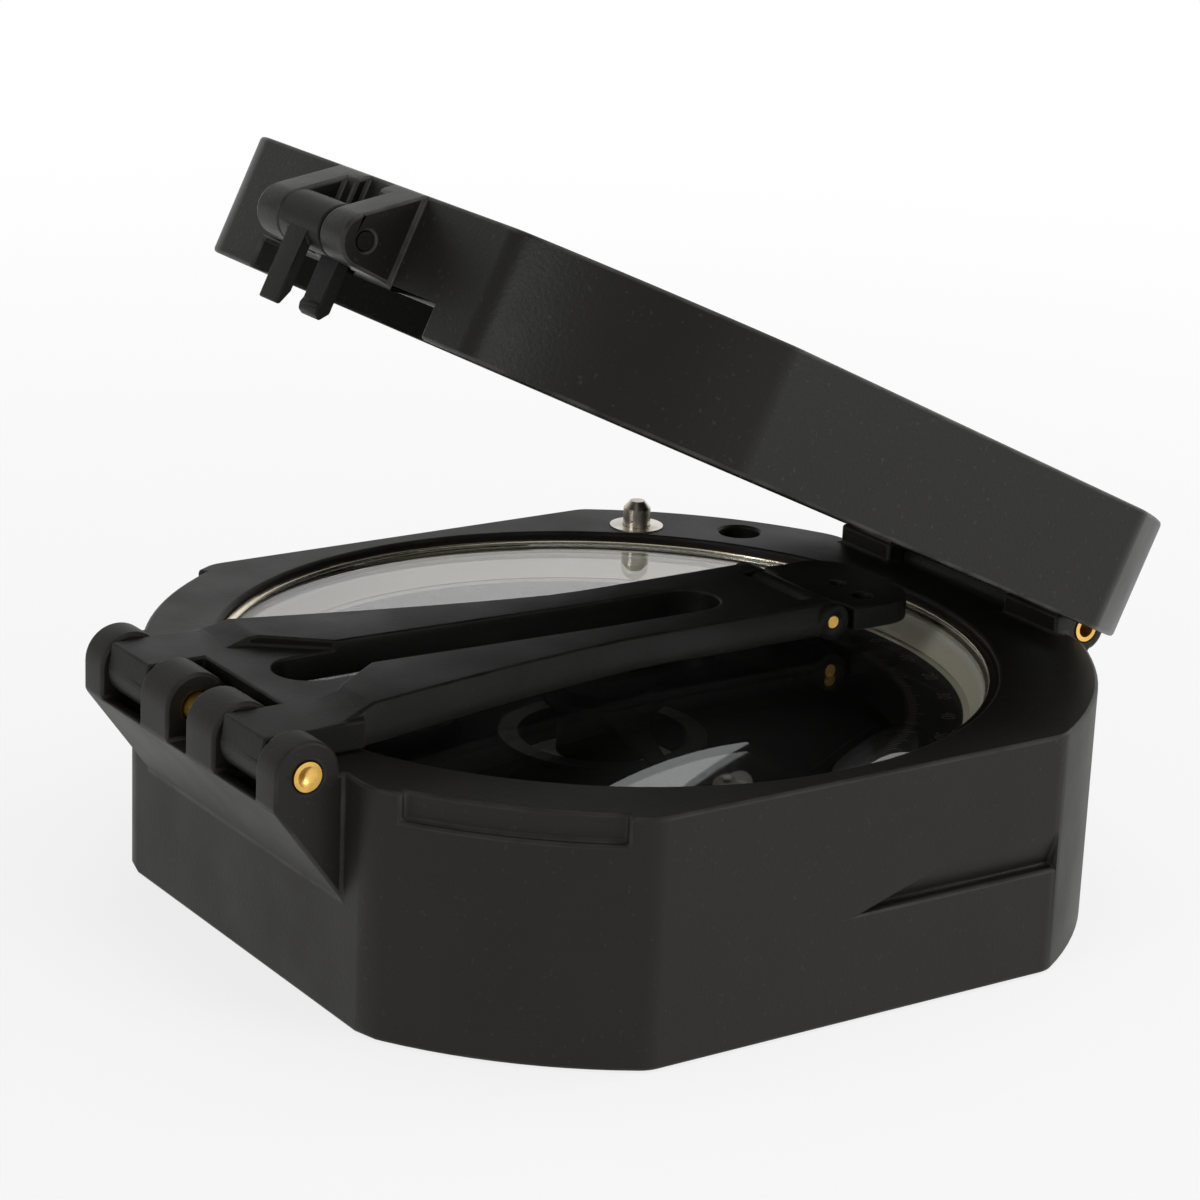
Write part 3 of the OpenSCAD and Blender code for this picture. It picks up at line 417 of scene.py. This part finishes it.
def roundedCopy(nodeName, pieceName, body, width):
    bm = bmesh.new()
    bm.from_mesh(nodes[nodeName].data)
    bmesh.ops.remove_doubles(bm, verts=bm.verts, dist=roundEdge["merge"])
    bmesh.ops.dissolve_limit(bm, angle_limit=math.radians(roundEdge["flatten"]),
                             verts=bm.verts, edges=bm.edges)
    bent = bm.faces.layers.int.new("bent")
    strip = bm.faces.layers.int.new("strip")
    scuffAndGlint = bm.loops.layers.float.new("edgeScuffAndGlint")
    corners = [e for e in bm.edges if isSoftCorner(e)]
    if corners:
        for f in bevelEdges(bm, corners, softCorner["width"], softCorner["segments"]):
            f[bent] = 1
            for e in f.edges:
                for other in e.link_faces:
                    if e.calc_length() > softCorner["length"] * mm:
                        other[bent] = 1
    sharp = [e for e in bm.edges if isSharp(e, width)]
    # the rounded strips get the paler edge colour: scuffing, and a painted highlight along the edges
    for f in bevelEdges(bm, sharp, width, roundEdge["segments"]):
        f[strip] = 1
        for corner in f.loops:
            corner[scuffAndGlint] = 1
    bmesh.ops.remove_doubles(bm, verts=bm.verts, dist=roundEdge["merge"])
    for f in bm.faces:
        f.smooth = f[bent] == 1 or not isFlat(f, strip)
    bmesh.ops.triangulate(bm, faces=[f for f in bm.faces if len(f.verts) > 4])
    smoothFaces = [f.smooth for f in bm.faces]
    print(pieceName, "corners:", len(corners), "edges rounded:", len(sharp), "faces:", len(smoothFaces),
          "flat:", smoothFaces.count(False))
    piece = addPiece(pieceName, bm, finish[nodeName])
    piece.data.set_sharp_from_angle(angle=math.radians(roundEdge["shadeBreak"]))
    piece.data.polygons.foreach_set("use_smooth", smoothFaces)
    even = piece.modifiers.new("evenNormals", "WEIGHTED_NORMAL")
    even.keep_sharp = True
    even.weight = roundEdge["faceWeight"]
    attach(piece, body)
    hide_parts(nodeName)


for nodeName, (pieceName, body, slotName, width) in roundedPieces.items():
    roundedCopy(nodeName, pieceName, body, width)


# degree marks and plain numbers on the graduated ring, in mm
dialMarks = {"top": 15.8, "lift": 0.01, "thick": 0.03, "inner": 26.3, "width": 0.10,
             "long": 1.3, "middle": 1.0, "short": 0.7, "longStep": 10, "middleStep": 5}
dialNumbers = {"radius": 29.6, "size": 1.7, "thick": 0.015, "step": 10}


def markLength(degree):
    if degree % dialMarks["longStep"] == 0:
        return dialMarks["long"]
    return dialMarks["middle"] if degree % dialMarks["middleStep"] == 0 else dialMarks["short"]


def markRing():
    bm = bmesh.new()
    height = (dialMarks["top"] + dialMarks["lift"]) * mm
    for degree in range(0, 360):
        size = markLength(degree)
        turn = Matrix.Rotation(math.radians(degree), 4, "Z")
        bar = bmesh.ops.create_cube(bm, size=1)["verts"]
        bmesh.ops.scale(bm, vec=(size * mm, dialMarks["width"] * mm, dialMarks["thick"] * mm), verts=bar)
        bmesh.ops.translate(bm, vec=((dialMarks["inner"] + size / 2) * mm, 0, height), verts=bar)
        bmesh.ops.transform(bm, matrix=turn, verts=bar)
    piece = addPiece("degreeMarks", bm, paleInk)
    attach(piece, "dial")


def addNumber(bm, value):
    curve = bpy.data.curves.new("number", "FONT")
    curve.body = str(value)
    curve.size = dialNumbers["size"] * mm
    curve.align_x = "CENTER"
    curve.align_y = "CENTER"
    curve.extrude = dialNumbers["thick"] * mm
    text = bpy.data.objects.new("number", curve)
    bpy.context.collection.objects.link(text)
    bpy.context.view_layer.update()
    mesh = bpy.data.meshes.new_from_object(text.evaluated_get(bpy.context.evaluated_depsgraph_get()))
    bpy.data.objects.remove(text)
    bpy.data.curves.remove(curve)
    turn = Matrix.Rotation(math.radians(90 - value), 4, "Z")
    place = Matrix.Translation((dialNumbers["radius"] * mm, 0, (dialMarks["top"] + dialMarks["lift"]) * mm))
    mesh.transform(turn @ place @ Matrix.Rotation(math.radians(-90), 4, "Z"))
    bm.from_mesh(mesh)
    bpy.data.meshes.remove(mesh)


def numberRing():
    bm = bmesh.new()
    for value in range(0, 360, dialNumbers["step"]):
        addNumber(bm, value)
    piece = addPiece("dialNumbers", bm, paleInk)
    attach(piece, "dial")


markRing()
numberRing()
print("dial marked")


# a copy of the lift spring, carried by the case
liftSpring = {"place": (-0.02876, 0.02280), "stroke": 0.0015, "merge": 1e-7}


def springCoil():
    bm = bmesh.new()
    bm.from_mesh(nodes["lift_spring"].data)
    bmesh.ops.remove_doubles(bm, verts=bm.verts, dist=liftSpring["merge"])
    piece = addPiece("springCoil", bm, steel)
    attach(piece, "case")
    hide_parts("lift_spring")
    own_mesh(piece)


springCoil()


# a floor that glows away from the object and keeps its shadow near it
floorLook = {"size": 6.0, "below": 0.0001, "white": 0.93, "rough": 0.9, "specular": 0.1,
             "near": 0.06, "far": 0.35, "glow": 0.8}


def paleFloor():
    material, tree, shader = newMaterial("paleFloor")
    white = floorLook["white"]
    setInputs(shader, {"Base Color": (white, white, white, 1), "Roughness": floorLook["rough"],
                       "Specular IOR Level": floorLook["specular"]})
    coord = addNode(tree, "ShaderNodeTexCoord", (-600, -200))
    length = addNode(tree, "ShaderNodeVectorMath", (-400, -200), operation="LENGTH")
    away = addNode(tree, "ShaderNodeMapRange", (-200, -200),
                   {"From Min": floorLook["near"], "From Max": floorLook["far"], "To Min": floorLook["glow"]},
                   interpolation_type="SMOOTHSTEP")
    light = addNode(tree, "ShaderNodeEmission", (300, -400))
    mix = addNode(tree, "ShaderNodeMixShader", (600, -200))
    out = tree.nodes["Material Output"]
    out.location = (850, 0)
    join(tree, (coord, "Object", length, 0), (length, "Value", away, "Value"), (away, "Result", mix, "Fac"),
         (shader, 0, mix, 1), (light, 0, mix, 2), (mix, 0, out, "Surface"))
    return material


def floorPiece():
    bm = bmesh.new()
    bmesh.ops.create_grid(bm, x_segments=4, y_segments=4, size=floorLook["size"] / 2)
    piece = addPiece("floor", bm, paleFloor())
    piece.location = (0, 0, -floorLook["below"])


# softboxes: place and target in m, side of the square in m, power in W
softboxes = {
    "topSoftbox": {"place": (0.1, 0.15, 0.9), "target": (0, 0, 0), "size": 0.7, "power": 3},
    "sideSoftbox": {"place": (0.95, 0.6, 0.2), "target": (0, 0, 0.02), "size": 0.4, "power": 2.4},
    "frontSoftbox": {"place": (0.14, -0.9, 0.42), "target": (0, 0, 0.03), "size": 0.18, "power": 1.2},
    "backSoftbox": {"place": (0.04, 0.9, 0.5), "target": (0, 0, 0.04), "size": 0.35, "power": 1.5},
}


def areaLight(name, place, target, size, power):
    data = bpy.data.lights.new(name, "AREA")
    data.shape = "SQUARE"
    data.size = size
    data.energy = power
    lamp = bpy.data.objects.new(name, data)
    lamp.location = place
    lamp.rotation_euler = (Vector(target) - Vector(place)).to_track_quat("-Z", "Y").to_euler()
    bpy.context.collection.objects.link(lamp)


# a white tent that is dimmer overhead and, above the table, on its open front side
tent = {"overhead": (0.35, 0.75), "overheadLight": 0.3, "front": (-0.2, -0.6), "table": (-0.05, 0.15),
        "openSide": 0.3, "diffuse": 0.27}


def whiteTent():
    world = bpy.data.worlds.new("studioWorld")
    bpy.context.scene.world = world
    world.use_nodes = True
    tree = world.node_tree
    back = tree.nodes["Background"]
    back.inputs["Color"].default_value = (1, 1, 1, 1)
    path = addNode(tree, "ShaderNodeLightPath", (-900, 200))
    view = addNode(tree, "ShaderNodeTexCoord", (-1100, -200))
    axis = addNode(tree, "ShaderNodeSeparateXYZ", (-900, -200))
    high = addNode(tree, "ShaderNodeMapRange", (-650, -200),
                   {"From Min": tent["overhead"][0], "From Max": tent["overhead"][1],
                    "To Min": 1.0, "To Max": tent["overheadLight"]}, interpolation_type="SMOOTHSTEP")
    front = addNode(tree, "ShaderNodeMapRange", (-650, -450),
                    {"From Min": tent["front"][0], "From Max": tent["front"][1],
                     "To Max": 1 - tent["openSide"]}, interpolation_type="SMOOTHSTEP")
    above = addNode(tree, "ShaderNodeMapRange", (-650, -700),
                    {"From Min": tent["table"][0], "From Max": tent["table"][1]},
                    interpolation_type="SMOOTHSTEP")
    dim = addNode(tree, "ShaderNodeMath", (-450, -550), operation="MULTIPLY")
    keep = addNode(tree, "ShaderNodeMath", (-300, -550), {0: 1}, operation="SUBTRACT")
    around = addNode(tree, "ShaderNodeMath", (-150, -350), operation="MULTIPLY")
    soft = addNode(tree, "ShaderNodeMapRange", (-400, 0), {"To Max": tent["diffuse"]})
    clear = addNode(tree, "ShaderNodeMath", (-400, 200), operation="MAXIMUM")
    strength = addNode(tree, "ShaderNodeMath", (-200, 100), operation="MAXIMUM")
    join(tree,
         (view, "Generated", axis, 0), (axis, "Z", high, "Value"), (path, "Is Diffuse Ray", soft, "Value"),
         (axis, "Y", front, "Value"), (axis, "Z", above, "Value"),
         (front, "Result", dim, 0), (above, "Result", dim, 1), (dim, 0, keep, 1),
         (high, "Result", around, 0), (keep, 0, around, 1), (around, 0, soft, "To Min"),
         (path, "Is Camera Ray", clear, 0), (path, "Is Transmission Ray", clear, 1),
         (clear, 0, strength, 0), (soft, "Result", strength, 1), (strength, 0, back, "Strength"))


floorPiece()
for name, box in softboxes.items():
    areaLight(name, **box)
whiteTent()
bpy.context.scene.view_settings.view_transform = "Standard"
print("studio set")
